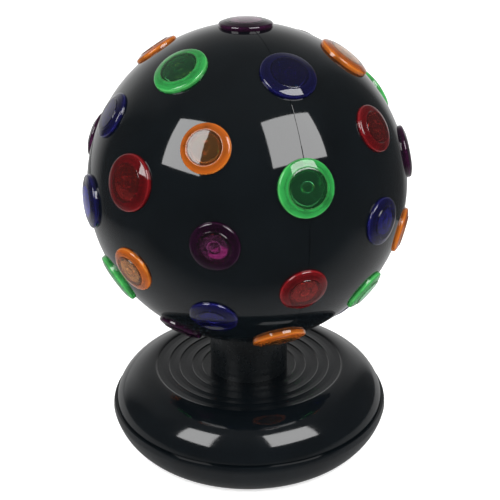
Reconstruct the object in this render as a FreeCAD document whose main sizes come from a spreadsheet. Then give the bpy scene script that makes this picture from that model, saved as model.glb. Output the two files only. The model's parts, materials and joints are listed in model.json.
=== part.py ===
import FreeCAD, Part
import Sketcher
import math
import os

App = FreeCAD
V = App.Vector
doc = App.newDocument("RotatingBallLight")

# ---------------------------------------------------------------------------
# Driving dimensions, millimetres and degrees.
# The frame: origin on the table under the middle of the base, +Z up,
# the front of the object towards -Y.
# ---------------------------------------------------------------------------
TABLE = [
    # ball
    ("ball_radius", 100.0), ("ball_wall", 2.4), ("ball_middle", 176.6),
    ("seam_azimuth", 20.0),
    ("ball_mouth", 22.0), ("seat_radius", 36.0), ("seat_level", 86.4),
    ("boss_radius", 4.2), ("boss_reach", 94.0), ("boss_half", 8.0),
    ("boss_far", 10.0), ("boss_lat_up", 35.0), ("boss_lat_down", -33.0),
    # lenses
    ("lens_big", 16.3), ("lens_big_plug", 12.3), ("lens_big_seat", 98.57),
    ("lens_small", 14.2), ("lens_small_plug", 10.6), ("lens_small_seat", 98.90),
    ("lens_play", 0.1), ("lens_foot", 95.6),
    # base
    ("rim_radius", 93.0), ("rim_top", 26.1), ("rim_lip", 3.8),
    ("tray_foot_radius", 80.8), ("tray_bottom", 2.0), ("tray_floor", 4.4),
    ("tray_inner", 90.55), ("tray_inner_foot", 79.4),
    ("cover_edge", 90.4), ("cover_skirt", 22.7), ("cover_inner", 88.0),
    ("ring_edge", 63.7), ("ring_level", 48.9),
    ("step_a", 62.5), ("step_b", 54.6), ("step_c", 47.5), ("step_d", 38.8),
    ("step_e", 32.0),
    ("level_a", 48.1), ("level_b", 47.5), ("level_c", 47.0), ("level_d", 46.5),
    ("level_e", 46.1),
    ("cover_mouth", 17.5), ("cover_under", 43.4), ("cover_under_out", 44.9),
    ("tray_boss_reach", 66.0), ("tray_boss_radius", 6.0), ("tray_boss_top", 8.2),
    ("cover_boss_radius", 4.0), ("cover_boss_foot", 8.4), ("cover_boss_top", 46.6),
    ("feet_reach", 68.0), ("feet_radius", 6.0), ("feet_height", 2.8),
    # neck
    ("neck_radius", 25.9), ("neck_inner", 23.5), ("neck_top", 78.4),
    ("neck_flange_inner", 18.0), ("neck_flange_top", 49.1),
    ("neck_screw_reach", 20.6),
    # bridge plate
    ("plate_low", 35.0), ("plate_top", 37.0), ("plate_left", -66.0),
    ("plate_right", 16.0), ("plate_half", 38.0),
    ("bridge_x_near", 10.0), ("bridge_y_near", 32.0), ("bridge_top_near", 45.2),
    ("bridge_x_far", -60.0), ("bridge_y_far", 28.0), ("bridge_top_far", 46.6),
    # stem, nuts, bush
    ("stem_radius", 5.0), ("stem_bore", 3.2), ("stem_low", 29.0),
    ("stem_top", 124.6), ("nut_corner", 8.08), ("nut_height", 3.0),
    ("stem_fit", 0.02), ("washer_radius", 9.5),
    ("bush_radius", 7.0), ("bush_flange", 10.5), ("bush_low", 62.1),
    ("bush_shoulder", 64.1), ("bush_top", 89.8),
    ("thrust_top", 65.1),
    # hub and gears
    ("hub_bore", 7.05), ("hub_tube", 10.0), ("hub_low", 65.15),
    ("hub_web_top", 68.1), ("hub_web", 21.4), ("hub_flange", 34.0),
    ("hub_top", 89.4), ("hub_spigot", 21.9), ("hub_spigot_inner", 18.5),
    ("hub_spigot_low", 80.6), ("hub_screw_reach", 29.0), ("hub_screw_seat", 83.9),
    ("gear_module", 0.8), ("ring_teeth", 45), ("pinion_teeth", 12),
    ("pressure_angle", 20.0), ("gear_centres", 13.2),
    ("ring_outer", 21.4), ("ring_root", 19.0), ("ring_tip", 17.6),
    ("ring_low", 50.6), ("ring_teeth_top", 58.6),
    ("pinion_low", 50.9), ("pinion_top", 58.1), ("pinion_tip", 5.6),
    ("pinion_root", 3.8),
    # motor
    ("motor_x", -34.7), ("motor_radius", 25.0), ("motor_low", 13.0),
    ("motor_top", 33.0), ("motor_ear", 30.0), ("motor_shaft_radius", 2.48),
    ("motor_shaft_low", 33.4), ("motor_shaft_top", 58.6), ("motor_bush", 4.5),
    ("motor_bush_top", 38.5),
    # lamp and holder
    ("holder_radius", 12.0), ("holder_low", 112.6), ("holder_floor", 127.6),
    ("holder_top", 151.0), ("holder_cavity", 7.9),
    ("cap_radius", 6.9), ("cap_low", 128.3), ("cap_top", 148.6),
    ("glass_neck", 6.1), ("glass_radius", 13.5), ("glass_foot", 134.2),
    ("glass_wide", 168.6), ("glass_top", 184.6), ("glass_wall", 0.8),
    # cord inlet, terminal block and switch
    ("inlet_height", 12.5), ("inlet_bore", 3.3), ("inlet_body", 6.0),
    ("inlet_face", 92.8), ("inlet_inner", 74.0), ("inlet_boss", 9.5),
    ("block_left", 7.0), ("block_front", 28.0), ("block_deep", 14.0),
    ("block_long", 34.0), ("block_high", 14.0), ("block_wire", 10.4),
    ("switch_azimuth", 150.0), ("switch_face", 92.4), ("switch_height", 12.5),
    ("rocker_tilt", 8.0), ("rocker_pivot", 91.8),
]

sheet = doc.addObject("Spreadsheet::Sheet", "Sizes")
for row, (alias, value) in enumerate(TABLE, start=1):
    sheet.set("A%d" % row, str(value))
    sheet.setAlias("A%d" % row, alias)
doc.recompute()


class Q:
    """A size with its number and the expression that gives it."""

    def __init__(self, value, text):
        self.value = float(value)
        self.text = text

    def __add__(self, other):
        o = q(other)
        return Q(self.value + o.value, "(%s + %s)" % (self.text, o.text))

    __radd__ = __add__

    def __sub__(self, other):
        o = q(other)
        return Q(self.value - o.value, "(%s - %s)" % (self.text, o.text))

    def __rsub__(self, other):
        return q(other) - self

    def __mul__(self, other):
        o = q(other)
        return Q(self.value * o.value, "(%s * %s)" % (self.text, o.text))

    __rmul__ = __mul__

    def __neg__(self):
        return Q(-self.value, "(0 - %s)" % self.text)


def q(x):
    return x if isinstance(x, Q) else Q(x, repr(float(x)))


def size(alias):
    return Q(sheet.get(alias), "Sizes." + alias)


def num(alias):
    return float(sheet.get(alias))


def bind(obj, prop, value):
    if isinstance(value, Q):
        obj.setExpression(prop, value.text)
    else:
        setattr(obj, prop, value)


def put(obj, at, rotation=None):
    values = [q(c) for c in at]
    obj.Placement = App.Placement(V(*[c.value for c in values]), rotation or App.Rotation())
    for letter, c in zip("xyz", at):
        if isinstance(c, Q):
            obj.setExpression("Placement.Base." + letter, c.text)
    return obj


# ---------------------------------------------------------------------------
# Building blocks
# ---------------------------------------------------------------------------
def plane_of(body, role):
    for feature in body.Origin.OriginFeatures:
        if feature.Role == role:
            return feature
    raise RuntimeError("no plane " + role)


def closed_sketch(body, name, points, role="XZ_Plane", offset=None):
    """A closed outline. A point is (x, y), or (x, y, mx, my) where the edge that
    arrives at it is an arc through (mx, my)."""
    sk = body.newObject("Sketcher::SketchObject", name)
    sk.AttachmentSupport = [(plane_of(body, role), "")]
    sk.MapMode = "FlatFace"
    if offset is not None:
        sk.AttachmentOffset = offset
    n = len(points)
    flat = [(q(p[0]), q(p[1])) for p in points]
    ends = []
    for i in range(n):
        a = flat[i]
        b = flat[(i + 1) % n]
        arc = points[(i + 1) % n]
        ax, ay, bx, by = a[0].value, a[1].value, b[0].value, b[1].value
        if len(arc) == 4:
            mx, my = q(arc[2]).value, q(arc[3]).value
            d = 2 * (ax * (my - by) + mx * (by - ay) + bx * (ay - my))
            ux = ((ax * ax + ay * ay) * (my - by) + (mx * mx + my * my) * (by - ay)
                  + (bx * bx + by * by) * (ay - my)) / d
            uy = ((ax * ax + ay * ay) * (bx - mx) + (mx * mx + my * my) * (ax - bx)
                  + (bx * bx + by * by) * (mx - ax)) / d
            radius = math.hypot(ax - ux, ay - uy)
            turn = (mx - ax) * (by - ay) - (my - ay) * (bx - ax)
            t0 = math.atan2(ay - uy, ax - ux)
            t1 = math.atan2(by - uy, bx - ux)
            circle = Part.Circle(V(ux, uy, 0), V(0, 0, 1), radius)
            if turn > 0:
                while t1 < t0:
                    t1 += 2 * math.pi
                g = sk.addGeometry(Part.ArcOfCircle(circle, t0, t1), False)
                ends.append((g, 1, 2))
            else:
                while t0 < t1:
                    t0 += 2 * math.pi
                g = sk.addGeometry(Part.ArcOfCircle(circle, t1, t0), False)
                ends.append((g, 2, 1))
            sk.addConstraint(Sketcher.Constraint("Radius", g, radius))
        else:
            g = sk.addGeometry(Part.LineSegment(V(ax, ay, 0), V(bx, by, 0)), False)
            ends.append((g, 1, 2))
    for i in range(n):
        g, s, e = ends[i]
        g2, s2, e2 = ends[(i + 1) % n]
        sk.addConstraint(Sketcher.Constraint("Coincident", g, e, g2, s2))
    for i in range(n):
        g, s, e = ends[i]
        for kind, c, axis in (("DistanceX", flat[i][0], -2), ("DistanceY", flat[i][1], -1)):
            if abs(c.value) < 1e-9:
                sk.addConstraint(Sketcher.Constraint("PointOnObject", g, s, axis))
            else:
                k = sk.addConstraint(Sketcher.Constraint(kind, -1, 1, g, s, c.value))
                if "Sizes." in c.text:
                    sk.setExpression("Constraints[%d]" % k, c.text)
    return sk


def lathe(label, points):
    body = doc.addObject("PartDesign::Body", label)
    body.Label = label
    sk = closed_sketch(body, label + "_outline", points)
    rev = body.newObject("PartDesign::Revolution", label + "_turned")
    rev.Profile = sk
    rev.ReferenceAxis = (sk, ["V_Axis"])
    rev.Angle = 360.0
    body.Tip = rev
    return body


def plate(label, points, low, height):
    """A flat piece: outline in XY, from the level low, height thick."""
    body = doc.addObject("PartDesign::Body", label)
    body.Label = label
    sk = closed_sketch(body, label + "_outline", points, "XY_Plane",
                       App.Placement(V(0, 0, q(low).value), App.Rotation()))
    if isinstance(low, Q):
        sk.setExpression("AttachmentOffset.Base.z", low.text)
    pad = body.newObject("PartDesign::Pad", label + "_pad")
    pad.Profile = sk
    pad.Length = q(height).value
    if isinstance(height, Q):
        pad.setExpression("Length", height.text)
    body.Tip = pad
    return body


def cylinder(name, radius, height, at, axis=(0, 0, 1)):
    obj = doc.addObject("Part::Cylinder", name)
    bind(obj, "Radius", radius)
    bind(obj, "Height", height)
    return put(obj, at, App.Rotation(V(0, 0, 1), V(*axis)))


def box(name, dx, dy, dz, at, rotation=None):
    obj = doc.addObject("Part::Box", name)
    bind(obj, "Length", dx)
    bind(obj, "Width", dy)
    bind(obj, "Height", dz)
    return put(obj, at, rotation)


def fuse(label, shapes):
    obj = doc.addObject("Part::MultiFuse", label)
    obj.Label = label
    obj.Shapes = shapes
    return obj


def cut(label, base, tools):
    obj = doc.addObject("Part::Cut", label)
    obj.Label = label
    obj.Base = base
    obj.Tool = tools[0] if len(tools) == 1 else fuse(label + "_tools", tools)
    return obj


def compound(label, links):
    obj = doc.addObject("Part::Compound", label)
    obj.Label = label
    obj.Links = links
    return obj


def screw(name, head_r, head_h, shank_r, length, at, axis=(0, 0, 1)):
    """A pan-head screw whose seat is at its own origin, its shank along +Z."""
    head = cylinder(name + "_head", head_r, head_h, (0, 0, -head_h))
    shank = cylinder(name + "_shank", shank_r, length + 0.2, (0, 0, -0.2))
    slot = box(name + "_slot", head_r * 1.4, 0.8, head_h * 0.45,
               (-head_r * 0.7, -0.4, -head_h))
    whole = fuse(name + "_blank", [head, shank])
    one = cut(name, whole, [slot])
    return put(one, at, App.Rotation(V(0, 0, 1), V(*axis)))


def azimuth(angle, reach=1.0):
    """Point in XY: angle 0 is the front (-Y), positive towards +X."""
    a = math.radians(angle)
    return reach * math.sin(a), -reach * math.cos(a)


NODES = {}


def keep(obj):
    NODES[obj.Label] = obj
    return obj


# ---------------------------------------------------------------------------
# Base: tray, cover, feet, screws
# ---------------------------------------------------------------------------
tray_turned = lathe("base_tray_shell", [
    (0, size("tray_bottom")),
    (size("tray_foot_radius"), size("tray_bottom")),
    (size("rim_radius"), size("rim_top") - size("rim_lip"), 88.10, 10.15),
    (size("rim_radius") - 0.81, size("rim_top"), 92.80, 24.24),
    (size("tray_inner"), size("rim_top")),
    (size("tray_inner"), size("rim_top") - size("rim_lip") + 0.2),
    (size("tray_inner_foot"), size("tray_floor"), 86.1, 11.65),
    (0, size("tray_floor")),
])
corner = [45.0, 135.0, 225.0, 315.0]
side = [0.0, 90.0, 180.0, 270.0]
tray_bosses, tray_holes = [], []
for i, a in enumerate(corner):
    x, y = azimuth(a, num("tray_boss_reach"))
    tray_bosses.append(cylinder("tray_boss_%d" % i, size("tray_boss_radius"),
                                size("tray_boss_top") - size("tray_bottom"), (x, y, size("tray_bottom"))))
    tray_holes.append(cylinder("tray_counterbore_%d" % i, 3.7, 4.8, (x, y, 1.0)))
    tray_holes.append(cylinder("tray_hole_%d" % i, 1.8, 10.0, (x, y, 1.0)))
for i, a in enumerate(side):
    x, y = azimuth(a, num("feet_reach"))
    tray_holes.append(cylinder("tray_foot_recess_%d" % i, size("feet_radius") + 0.1,
                               size("feet_height") - 1.0, (x, y, 1.0)))
for i, dx in enumerate((11.0, 23.0)):
    at = (size("block_left") + dx, size("block_front") + size("block_deep") * 0.5)
    tray_bosses.append(cylinder("block_boss_%d" % i, 3.1, 6.8, (at[0], at[1], size("tray_bottom") + 0.2)))
    tray_holes.append(cylinder("block_pilot_%d" % i, 1.42, 8.0, (at[0], at[1], size("tray_bottom") + 1.4)))
inlet_boss = cylinder("inlet_boss_blank", size("inlet_boss"), size("inlet_face") - size("inlet_inner"),
                      (0, size("inlet_inner"), size("inlet_height")), (0, 1, 0))
inlet_hole = cylinder("inlet_boss_hole", size("inlet_body") + 0.02, 40.0,
                      (0, 60.0, size("inlet_height")), (0, 1, 0))
# local frame of the switch: its own +X points out of the base
switch_turn = App.Rotation(V(0, 0, 1), num("switch_azimuth") - 90.0)


def at_switch(radial, tangential, level):
    p = switch_turn.multVec(V(radial, tangential, 0))
    return (p.x, p.y, level)


switch_pad = box("switch_pad", 11.0, 24.0, 15.0, at_switch(num("switch_face") - 11.0, -12.0, 5.2), switch_turn)
switch_window = box("switch_window", 30.0, 14.1, 9.5, at_switch(70.0, -7.05, num("switch_height") - 4.75), switch_turn)
tray_solid = fuse("base_tray_solid", [tray_turned, inlet_boss, switch_pad] + tray_bosses)
keep(cut("base_tray", tray_solid, tray_holes + [inlet_hole, switch_window]))

cover_turned = lathe("base_cover_shell", [
    (size("cover_mouth"), size("cover_under")),
    (size("step_c"), size("cover_under")),
    (size("step_c") + 2.0, size("cover_under_out")),
    (size("step_a") - 1.0, size("cover_under_out")),
    (size("step_a") + 0.4, size("cover_under_out") + 1.2),
    (80.1, 39.65, 71.8, 44.6),
    (size("cover_inner"), size("rim_top"), 85.95, 32.7),
    (size("cover_inner"), size("cover_skirt")),
    (size("cover_edge"), size("cover_skirt")),
    (size("cover_edge"), size("rim_top")),
    (81.71, 41.48, 88.10, 33.75),
    (size("ring_edge"), size("ring_level"), 72.66, 46.94),
    (size("step_a"), size("level_a")),
    (size("step_b"), size("level_a")),
    (size("step_b") - 0.6, size("level_b")),
    (size("step_c"), size("level_b")),
    (size("step_c") - 0.6, size("level_c")),
    (size("step_d"), size("level_c")),
    (size("step_d") - 0.6, size("level_d")),
    (size("step_e"), size("level_d")),
    (size("step_e") - 0.6, size("level_e")),
    (size("cover_mouth"), size("level_e")),
])
cover_bosses, cover_holes = [], []
for i, a in enumerate(corner):
    x, y = azimuth(a, num("tray_boss_reach"))
    cover_bosses.append(cylinder("cover_boss_%d" % i, size("cover_boss_radius"),
                                 size("cover_boss_top") - size("cover_boss_foot"), (x, y, size("cover_boss_foot"))))
    cover_holes.append(cylinder("cover_pilot_%d" % i, 1.52, 14.0, (x, y, size("cover_boss_foot") - 0.5)))
bridge_points = [(num("bridge_x_near"), num("bridge_y_near")), (num("bridge_x_near"), -num("bridge_y_near")),
                 (num("bridge_x_far"), num("bridge_y_far")), (num("bridge_x_far"), -num("bridge_y_far"))]
for i, (x, y) in enumerate(bridge_points):
    top = size("bridge_top_near") if x > 0 else size("bridge_top_far")
    cover_bosses.append(cylinder("bridge_boss_%d" % i, size("cover_boss_radius"),
                                 top - size("plate_top"), (x, y, size("plate_top"))))
    cover_holes.append(cylinder("bridge_pilot_%d" % i, 1.52, 6.2, (x, y, size("plate_top") - 0.5)))
neck_points = [azimuth(a, num("neck_screw_reach")) for a in (60.0, 180.0, 300.0)]
for i, (x, y) in enumerate(neck_points):
    cover_holes.append(cylinder("neck_clearance_%d" % i, 1.6, 6.0, (x, y, size("cover_under") - 2.0)))
cover_solid = fuse("base_cover_solid", [cover_turned] + cover_bosses)
keep(cut("base_cover", cover_solid, cover_holes))

feet = []
for i, a in enumerate(side):
    x, y = azimuth(a, num("feet_reach"))
    feet.append(cylinder("foot_%d" % i, size("feet_radius"), size("feet_height"), (x, y, 0.0)))
keep(compound("rubber_feet", feet))

keep(compound("tray_screws", [
    screw("tray_screw_%d" % i, 3.3, 2.2, 1.5, 14.0, azimuth(a, num("tray_boss_reach")) + (5.8,))
    for i, a in enumerate(corner)]))

# ---------------------------------------------------------------------------
# Neck
# ---------------------------------------------------------------------------
neck_turned = lathe("neck_shell", [
    (size("neck_flange_inner"), size("level_e")),
    (size("neck_radius"), size("level_e")),
    (size("neck_radius"), size("neck_top")),
    (size("neck_inner"), size("neck_top")),
    (size("neck_inner"), size("neck_flange_top")),
    (size("neck_flange_inner"), size("neck_flange_top")),
])
keep(cut("neck_column", neck_turned, [
    cylinder("neck_pilot_%d" % i, 1.32, 4.0, (x, y, size("level_e") - 1.2)) for i, (x, y) in enumerate(neck_points)]))
keep(compound("neck_screws", [
    screw("neck_screw_%d" % i, 2.6, 1.6, 1.3, 5.4, (x, y, num("cover_under")))
    for i, (x, y) in enumerate(neck_points)]))

# ---------------------------------------------------------------------------
# Bridge plate that carries the stem and the motor
# ---------------------------------------------------------------------------
ch = 8.0
bridge_blank = plate("bridge_plate_blank", [
    (size("plate_left"), -size("plate_half") + ch),
    (size("plate_left") + ch, -size("plate_half")),
    (size("plate_right") - ch, -size("plate_half")),
    (size("plate_right"), -size("plate_half") + ch),
    (size("plate_right"), size("plate_half") - ch),
    (size("plate_right") - ch, size("plate_half")),
    (size("plate_left") + ch, size("plate_half")),
    (size("plate_left"), size("plate_half") - ch),
], size("plate_low"), size("plate_top") - size("plate_low"))
bridge_holes = [cylinder("plate_stem_hole", size("stem_radius") + 0.1, 6.0, (0, 0, size("plate_low") - 2.0)),
                cylinder("plate_shaft_hole", size("motor_bush") + 0.2, 6.0, (-size("gear_centres"), 0, size("plate_low") - 2.0))]
for i, (x, y) in enumerate(bridge_points):
    bridge_holes.append(cylinder("plate_hole_%d" % i, 1.7, 6.0, (x, y, size("plate_low") - 2.0)))
for i, s in enumerate((1, -1)):
    bridge_holes.append(cylinder("plate_ear_hole_%d" % i, 1.52, 6.0, (size("motor_x"), s * size("motor_ear"), size("plate_low") - 2.0)))
keep(cut("bridge_plate", bridge_blank, bridge_holes))
keep(compound("bridge_screws", [
    screw("bridge_screw_%d" % i, 3.0, 2.0, 1.5, 7.0, (x, y, num("plate_low")))
    for i, (x, y) in enumerate(bridge_points)]))

# ---------------------------------------------------------------------------
# Hollow lamp stem with its nuts and washers, bearing bush, thrust washer
# ---------------------------------------------------------------------------
keep(lathe("lamp_stem", [
    (size("stem_bore"), size("stem_low")),
    (size("stem_radius"), size("stem_low")),
    (size("stem_radius"), size("stem_top")),
    (size("stem_bore"), size("stem_top")),
]))
nuts = []
nut_levels = (num("plate_low") - 4.0, num("plate_top"), num("bush_low") - 3.0, num("bush_top") + 1.0)
for i, level in enumerate(nut_levels):
    prism = doc.addObject("Part::Prism", "nut_blank_%d" % i)
    prism.Polygon = 6
    bind(prism, "Circumradius", size("nut_corner"))
    bind(prism, "Height", size("nut_height"))
    put(prism, (0, 0, level))
    bore = cylinder("nut_bore_%d" % i, size("stem_radius") + size("stem_fit"), 6.0, (0, 0, level - 1.0))
    nuts.append(cut("stem_nut_%d" % i, prism, [bore]))
keep(compound("stem_nuts", nuts))
washers = []
for i, level in enumerate((num("plate_low") - 1.0, num("bush_top"))):
    disc = cylinder("washer_blank_%d" % i, size("washer_radius"), 1.0, (0, 0, level))
    bore = cylinder("washer_bore_%d" % i, size("stem_radius") + 0.05, 3.0, (0, 0, level - 1.0))
    washers.append(cut("stem_washer_%d" % i, disc, [bore]))
keep(compound("stem_washers", washers))
keep(lathe("bearing_bush", [
    (size("stem_radius") + 0.02, size("bush_low")),
    (size("bush_flange"), size("bush_low")),
    (size("bush_flange"), size("bush_shoulder")),
    (size("bush_radius"), size("bush_shoulder")),
    (size("bush_radius"), size("bush_top")),
    (size("stem_radius") + 0.02, size("bush_top")),
]))
keep(lathe("thrust_washer", [
    (size("bush_radius") + 0.05, size("bush_shoulder")),
    (size("bush_flange") - 0.2, size("bush_shoulder")),
    (size("bush_flange") - 0.2, size("thrust_top")),
    (size("bush_radius") + 0.05, size("thrust_top")),
]))

# ---------------------------------------------------------------------------
# Motor: geared synchronous motor below the bridge plate
# ---------------------------------------------------------------------------
motor_can = lathe("motor_can", [
    (0, size("motor_low")),
    (size("motor_radius") - 1.5, size("motor_low")),
    (size("motor_radius"), size("motor_low") + 1.5),
    (size("motor_radius"), size("motor_top")),
    (size("motor_radius") - 1.2, size("motor_top")),
    (size("motor_radius") - 1.2, size("motor_low") + 1.8),
    (0, size("motor_low") + 1.8),
])
keep(put(motor_can, (size("motor_x"), 0, 0)))
motor_coil = lathe("motor_coil", [
    (9.0, size("motor_low") + 2.0),
    (22.5, size("motor_low") + 2.0),
    (22.5, size("motor_top") - 5.0),
    (9.0, size("motor_top") - 5.0),
])
keep(put(motor_coil, (size("motor_x"), 0, 0)))
lid_disc = cylinder("motor_lid_disc", size("motor_radius"), size("plate_low") - size("motor_top"),
                    (size("motor_x"), 0, size("motor_top")))
lid_bar = box("motor_lid_bar", 9.0, 69.0, size("plate_low") - size("motor_top"),
              (size("motor_x") - 4.5, -34.5, size("motor_top")))
lid_whole = fuse("motor_lid_blank", [lid_disc, lid_bar])
lid_tools = [cylinder("lid_shaft_hole", size("motor_shaft_radius") + 0.07, 6.0, (-size("gear_centres"), 0, size("motor_top") - 1.5))]
for i, s in enumerate((1, -1)):
    lid_tools.append(cylinder("lid_ear_hole_%d" % i, 1.8, 6.0, (size("motor_x"), s * size("motor_ear"), size("motor_top") - 1.5)))
keep(cut("motor_gearbox_lid", lid_whole, lid_tools))
shaft_bush = lathe("motor_shaft_bush", [
    (size("motor_shaft_radius") + 0.07, size("plate_low")),
    (size("motor_bush"), size("plate_low")),
    (size("motor_bush"), size("motor_bush_top")),
    (size("motor_shaft_radius") + 0.07, size("motor_bush_top")),
])
keep(put(shaft_bush, (-size("gear_centres"), 0, 0)))
keep(compound("motor_screws", [
    screw("motor_screw_%d" % i, 3.0, 2.0, 1.5, 5.0, (num("motor_x"), s * num("motor_ear"), num("motor_top")))
    for i, s in enumerate((1, -1))]))
keep(cylinder("motor_shaft", size("motor_shaft_radius"), size("motor_shaft_top") - size("motor_shaft_low"),
              (-size("gear_centres"), 0, size("motor_shaft_low"))))


# ---------------------------------------------------------------------------
# Gears: involute outlines, both flanks thinned for backlash
# ---------------------------------------------------------------------------
def involute(angle):
    return math.tan(angle) - angle


def gear_outline(teeth, module, pressure, outer, inner, thin, phase):
    """Closed outline of an outside gear (or of an inside gear's tooth spaces)."""
    pitch = teeth * module / 2.0
    base = pitch * math.cos(pressure)
    half = math.pi / (2 * teeth) - thin / pitch
    pts = []
    steps = 5
    for k in range(teeth):
        middle = phase + 2 * math.pi * k / teeth
        flank = []
        for j in range(steps + 1):
            r = inner + (outer - inner) * j / steps
            if r > base:
                w = half + involute(pressure) - involute(math.acos(base / r))
            else:
                w = half + involute(pressure)
            flank.append((r, w))
        for r, w in flank:
            pts.append(V(r * math.cos(middle - w), r * math.sin(middle - w), 0))
        for r, w in reversed(flank):
            pts.append(V(r * math.cos(middle + w), r * math.sin(middle + w), 0))
    pts.append(pts[0])
    return pts


def prism_from(points, low, height):
    wire = Part.makePolygon([V(p.x, p.y, low) for p in points])
    return Part.Face(wire).extrude(V(0, 0, height))


mod = num("gear_module")
alpha = math.radians(num("pressure_angle"))
spaces = prism_from(gear_outline(int(num("ring_teeth")), mod, alpha, num("ring_root"), num("ring_tip"),
                                 -0.04, math.pi), num("ring_low") - 1.0,
                    num("ring_teeth_top") - num("ring_low") + 1.0)
cup = Part.makeCylinder(num("ring_outer"), num("hub_low") - num("ring_low"), V(0, 0, num("ring_low")))
cup = cup.cut(Part.makeCylinder(num("ring_root"), 20.0, V(0, 0, num("ring_teeth_top"))))
ring_gear = doc.addObject("Part::Feature", "ring_gear")
ring_gear.Label = "ring_gear"
ring_gear.Shape = cup.cut(spaces)
keep(ring_gear)

pinion_shape = prism_from(gear_outline(int(num("pinion_teeth")), mod, alpha, num("pinion_tip"),
                                       num("pinion_root"), 0.06, math.pi), 0.0,
                          num("pinion_top") - num("pinion_low"))
pinion_shape = pinion_shape.cut(Part.makeCylinder(num("motor_shaft_radius") + 0.02, 30.0, V(0, 0, -5.0)))
pinion = doc.addObject("Part::Feature", "drive_pinion")
pinion.Label = "drive_pinion"
pinion.Shape = pinion_shape
pinion.Placement = App.Placement(V(-num("gear_centres"), 0, num("pinion_low")), App.Rotation())
keep(pinion)

# ---------------------------------------------------------------------------
# Drive hub: runs on the bush, carries the ball on its flange
# ---------------------------------------------------------------------------
hub_turned = lathe("drive_hub_blank", [
    (size("hub_bore"), size("hub_low")),
    (size("hub_web"), size("hub_low")),
    (size("hub_web"), size("hub_web_top")),
    (size("hub_tube"), size("hub_web_top")),
    (size("hub_tube"), size("seat_level")),
    (size("hub_spigot_inner"), size("seat_level")),
    (size("hub_spigot_inner"), size("hub_spigot_low")),
    (size("hub_spigot"), size("hub_spigot_low")),
    (size("hub_spigot"), size("seat_level")),
    (size("hub_flange"), size("seat_level")),
    (size("hub_flange"), size("hub_top")),
    (size("hub_bore"), size("hub_top")),
])
hub_points = [azimuth(a, num("hub_screw_reach")) for a in (65.0, 155.0, 245.0, 335.0)]
keep(cut("drive_hub", hub_turned, [
    cylinder("hub_pilot_%d" % i, 1.52, 5.5, (x, y, size("hub_screw_seat"))) for i, (x, y) in enumerate(hub_points)]))
keep(compound("hub_screws", [
    screw("hub_screw_%d" % i, 2.9, 1.8, 1.5, 5.2, (x, y, num("hub_screw_seat"))) for i, (x, y) in enumerate(hub_points)]))

# ---------------------------------------------------------------------------
# Lamp holder and lamp on the stem
# ---------------------------------------------------------------------------
fit = size("stem_radius") + 0.02
keep(lathe("lamp_holder_body", [
    (fit, size("holder_low")),
    (8.5, size("holder_low")),
    (8.5, size("holder_low") + 3.5),
    (size("holder_radius"), size("holder_low") + 6.0),
    (size("holder_radius"), size("holder_top")),
    (size("holder_cavity"), size("holder_top")),
    (size("holder_cavity"), size("holder_floor")),
    (size("stem_bore"), size("holder_floor")),
    (size("stem_bore"), size("stem_top")),
    (fit, size("stem_top")),
]))
keep(lathe("lamp_holder_screw_shell", [
    (7.3, size("holder_floor") + 2.0),
    (7.8, size("holder_floor") + 2.0),
    (7.8, size("holder_top") - 2.0),
    (7.3, size("holder_top") - 2.0),
]))
keep(box("lamp_holder_contact", 13.0, 4.0, 0.6, (-6.5, -2.0, size("holder_floor"))))
keep(lathe("lamp_cap", [
    (0, size("cap_low")),
    (2.4, size("cap_low")),
    (3.0, size("cap_low") + 1.8),
    (size("cap_radius"), size("cap_low") + 4.6),
    (size("cap_radius"), size("cap_top")),
    (size("glass_neck") + 0.1, size("cap_top")),
    (size("glass_neck") + 0.1, size("cap_low") + 5.6),
    (0, size("cap_low") + 5.6),
]))
w = num("glass_wall")
keep(lathe("lamp_envelope", [
    (0, size("glass_foot")),
    (size("glass_neck"), size("glass_foot")),
    (size("glass_neck"), size("cap_top") + 0.6),
    (size("glass_radius"), size("glass_wide"), 10.6, 157.8),
    (0.8, size("glass_top"), 9.6, 180.2),
    (0, size("glass_top")),
    (0, size("glass_top") - w),
    (0.8, size("glass_top") - w),
    (size("glass_radius") - w, size("glass_wide"), 9.05, 179.6),
    (size("glass_neck") - w, size("cap_top") + 1.0, 9.85, 158.1),
    (size("glass_neck") - w, size("glass_foot") + w),
    (0, size("glass_foot") + w),
]))
gf = size("glass_foot") + w
keep(lathe("lamp_mount", [
    (0, gf), (4.6, gf), (1.6, gf + 4.6), (1.6, gf + 17.6), (0, gf + 17.6)]))


def round_path(points, radius, tube):
    """Tube along straight runs joined by tangent arcs."""
    pts = [V(*p) for p in points]
    edges = []
    cursor = pts[0]
    radii = []
    for i in range(1, len(pts) - 1):
        a = (pts[i - 1] - pts[i]).normalize()
        b = (pts[i + 1] - pts[i]).normalize()
        half = a.getAngle(b) / 2.0
        if half > math.radians(89.0):
            continue
        run = min((pts[i - 1] - pts[i]).Length, (pts[i + 1] - pts[i]).Length) * 0.45
        back = min(run, radius / math.tan(half)) if radius else run
        rad = back * math.tan(half)
        s = pts[i] + a * back
        e = pts[i] + b * back
        middle = (a + b).normalize()
        centre = pts[i] + middle * (rad / math.sin(half))
        top = centre - middle * rad
        edges.append(Part.LineSegment(cursor, s).toShape())
        edges.append(Part.Arc(s, top, e).toShape())
        cursor = e
        radii.append(round(rad, 1))
    edges.append(Part.LineSegment(cursor, pts[-1]).toShape())
    path = Part.Wire(edges)
    start = (pts[1] - pts[0]).normalize()
    ring = Part.Wire([Part.Circle(pts[0], start, tube).toShape()])
    solid = path.makePipeShell([ring], True, False)
    print("tube radius %.2f, bend radii %s, volume / (section x length) %.4f" % (
        tube, radii, solid.Volume / (math.pi * tube * tube * path.Length)))
    return solid


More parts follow.
